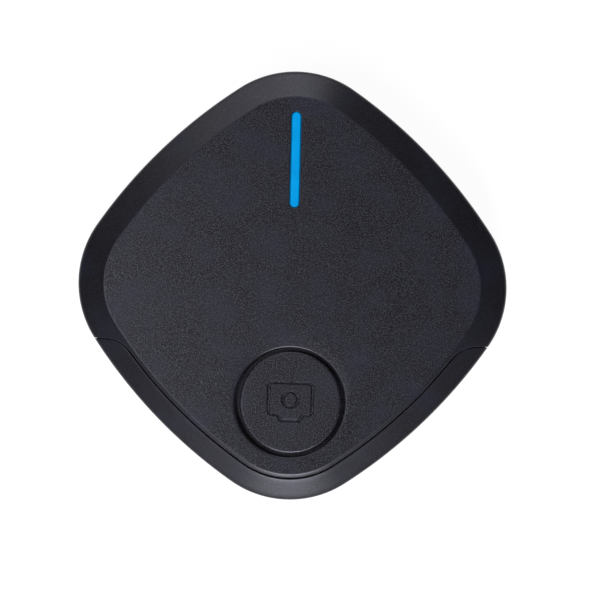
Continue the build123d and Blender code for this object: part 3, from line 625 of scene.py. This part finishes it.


# ---- Snap dome ----
# Thin cap of rolled spring steel under the switch's plunger, built here at rest. In use it gives way with a click:
# its crown goes down as far as the button does, and its rim stays on the contacts.
DOME_R, DOME_RISE, DOME_SHEET, DOME_KEPT = 1.5, 0.4, 0.06, 0.15
DOME_FOOT_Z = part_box("switch_dome")[0].z / MM
ball_r = (DOME_R**2 + DOME_RISE**2) / (2 * DOME_RISE)
ball_z = DOME_FOOT_Z + DOME_RISE - ball_r
skins = []
for r in (ball_r, ball_r - DOME_SHEET):
    tilt = np.linspace(0, acos((DOME_FOOT_Z - ball_z) / r), 13)[:, None]
    skins.append(np.concatenate((r * np.sin(tilt), ball_z + r * np.cos(tilt)), axis=1))
dome_rows = np.concatenate((skins[0], skins[1][::-1]))
dome_skin = np.array([lift(BUTTON_MIDDLE + r * bar_ray, z) for r, z in dome_rows])
snap_dome = make_piece("snap_dome", [dome_skin])
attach(snap_dome, "case")
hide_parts("switch_dome")
snap_dome.data.materials.append(spring_steel)
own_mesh(snap_dome)


# ---- Floor, light and camera ----
# A pale backlit floor of opal acrylic, and soft studio lights: a bright one low behind the loop, weaker ones low
# behind the light bar and a small one close on the left, so that bevels facing them shine and side bevels stay dark.
FLOOR_Z, FLOOR_REACH = -0.02 * MM, 3
floor_mesh = bpy.data.meshes.new("studio_floor")
floor_corners = [(FLOOR_REACH * x, FLOOR_REACH * y, FLOOR_Z) for x, y in ((-1, -1), (1, -1), (1, 1), (-1, 1))]
floor_mesh.from_pydata(floor_corners, [], [(0, 1, 2, 3)])
floor = bpy.data.objects.new("studio_floor", floor_mesh)
bpy.context.scene.collection.objects.link(floor)
opal = new_material("backlit_opal_acrylic")
place = add(opal, "ShaderNodeTexCoord", {}).outputs["Object"]
cast = add(opal, "ShaderNodeTexNoise", {"Scale": 1 / (2 * MM), "Detail": 4.0}, [("Vector", place)])
tint = add(opal, "ShaderNodeValToRGB", {}, [("Fac", cast.outputs["Fac"])])
tint.color_ramp.elements[0].color = linear("767676")
tint.color_ramp.elements[1].color = linear("7e7e7e")
body = add(opal, "ShaderNodeBsdfPrincipled", {
    "Roughness": 0.9, "Specular IOR Level": 0.1, "Emission Color": (1, 1, 1, 1), "Emission Strength": 0.92},
    [("Base Color", tint.outputs["Color"])])
add(opal, "ShaderNodeOutputMaterial", {}, [("Surface", body.outputs["BSDF"])])
floor_mesh.materials.append(opal)


def softbox(name, azimuth, elevation, distance, size, radiance):
    """Rectangular light aimed at the tag from a direction, its power worked out from the wanted brightness of its
    face: pi times area times radiance."""
    lamp = bpy.data.lights.new(name, "AREA")
    lamp.shape = "RECTANGLE"
    lamp.size, lamp.size_y = size
    lamp.energy = pi * size[0] * size[1] * radiance
    lamp.color = (0.96, 0.955, 1.1)
    made = bpy.data.objects.new(name, lamp)
    bpy.context.scene.collection.objects.link(made)
    a, e = radians(azimuth), radians(elevation)
    made.location = (distance * cos(e) * cos(a), distance * cos(e) * sin(a), distance * sin(e))
    made.rotation_euler = (QUARTER - e, 0.0, a + QUARTER)
    return made


softbox("low_light_behind_loop", 270, 41, 0.40, (0.20, 0.08), 27.0)
softbox("low_light_loop_left", 238, 32, 0.40, (0.12, 0.14), 1.0)
softbox("low_light_loop_right", 302, 32, 0.40, (0.12, 0.14), 0.5)
softbox("mid_light_behind_loop", 262, 55, 0.40, (0.36, 0.08), 1.2)
softbox("low_light_behind_bar", 88, 32, 0.40, (0.18, 0.12), 4.1)
softbox("low_light_bar_left", 118, 30, 0.40, (0.16, 0.14), 2.3)
softbox("mid_light_behind_bar", 90, 60, 0.40, (0.30, 0.10), 1.5)
softbox("close_light_left", 200, 68, 0.20, (0.07, 0.07), 4.7)

world = bpy.data.worlds.new("studio_room")
bpy.context.scene.world = world
world.use_nodes = True
# the room gives hardly any light, but stands behind low views as a pale wall
dim_room = world.node_tree.nodes["Background"]
dim_room.inputs["Color"].default_value = (0.9, 0.95, 1.0, 1.0)
dim_room.inputs["Strength"].default_value = 0.01
pale_wall = add(world, "ShaderNodeBackground", {"Color": (1.0, 1.0, 1.0, 1.0)})
sight = add(world, "ShaderNodeLightPath", {})
room = add(world, "ShaderNodeMixShader", {}, [
    (0, sight.outputs["Is Camera Ray"]), (1, dim_room.outputs[0]), (2, pale_wall.outputs[0])])
world.node_tree.links.new(room.outputs[0], world.node_tree.nodes["World Output"].inputs["Surface"])

FRAME_WIDTH, AIM_RIGHT, AIM_BELOW = 58.84 * MM, 0.735 * MM, 1.414 * MM
CAMERA_TURN = radians(1.365)
camera_data = bpy.data.cameras.new("camera")
camera_data.lens = 250
camera = bpy.data.objects.new("camera", camera_data)
bpy.context.scene.collection.objects.link(camera)
distance = FRAME_WIDTH * camera_data.lens / camera_data.sensor_width
camera.location = (
    AIM_RIGHT * cos(CAMERA_TURN) + AIM_BELOW * sin(CAMERA_TURN),
    AIM_RIGHT * sin(CAMERA_TURN) - AIM_BELOW * cos(CAMERA_TURN),
    EDGE_Z * MM + distance)
camera.rotation_euler = (0, 0, CAMERA_TURN)
bpy.context.scene.camera = camera
bpy.context.scene.view_settings.view_transform = "Standard"
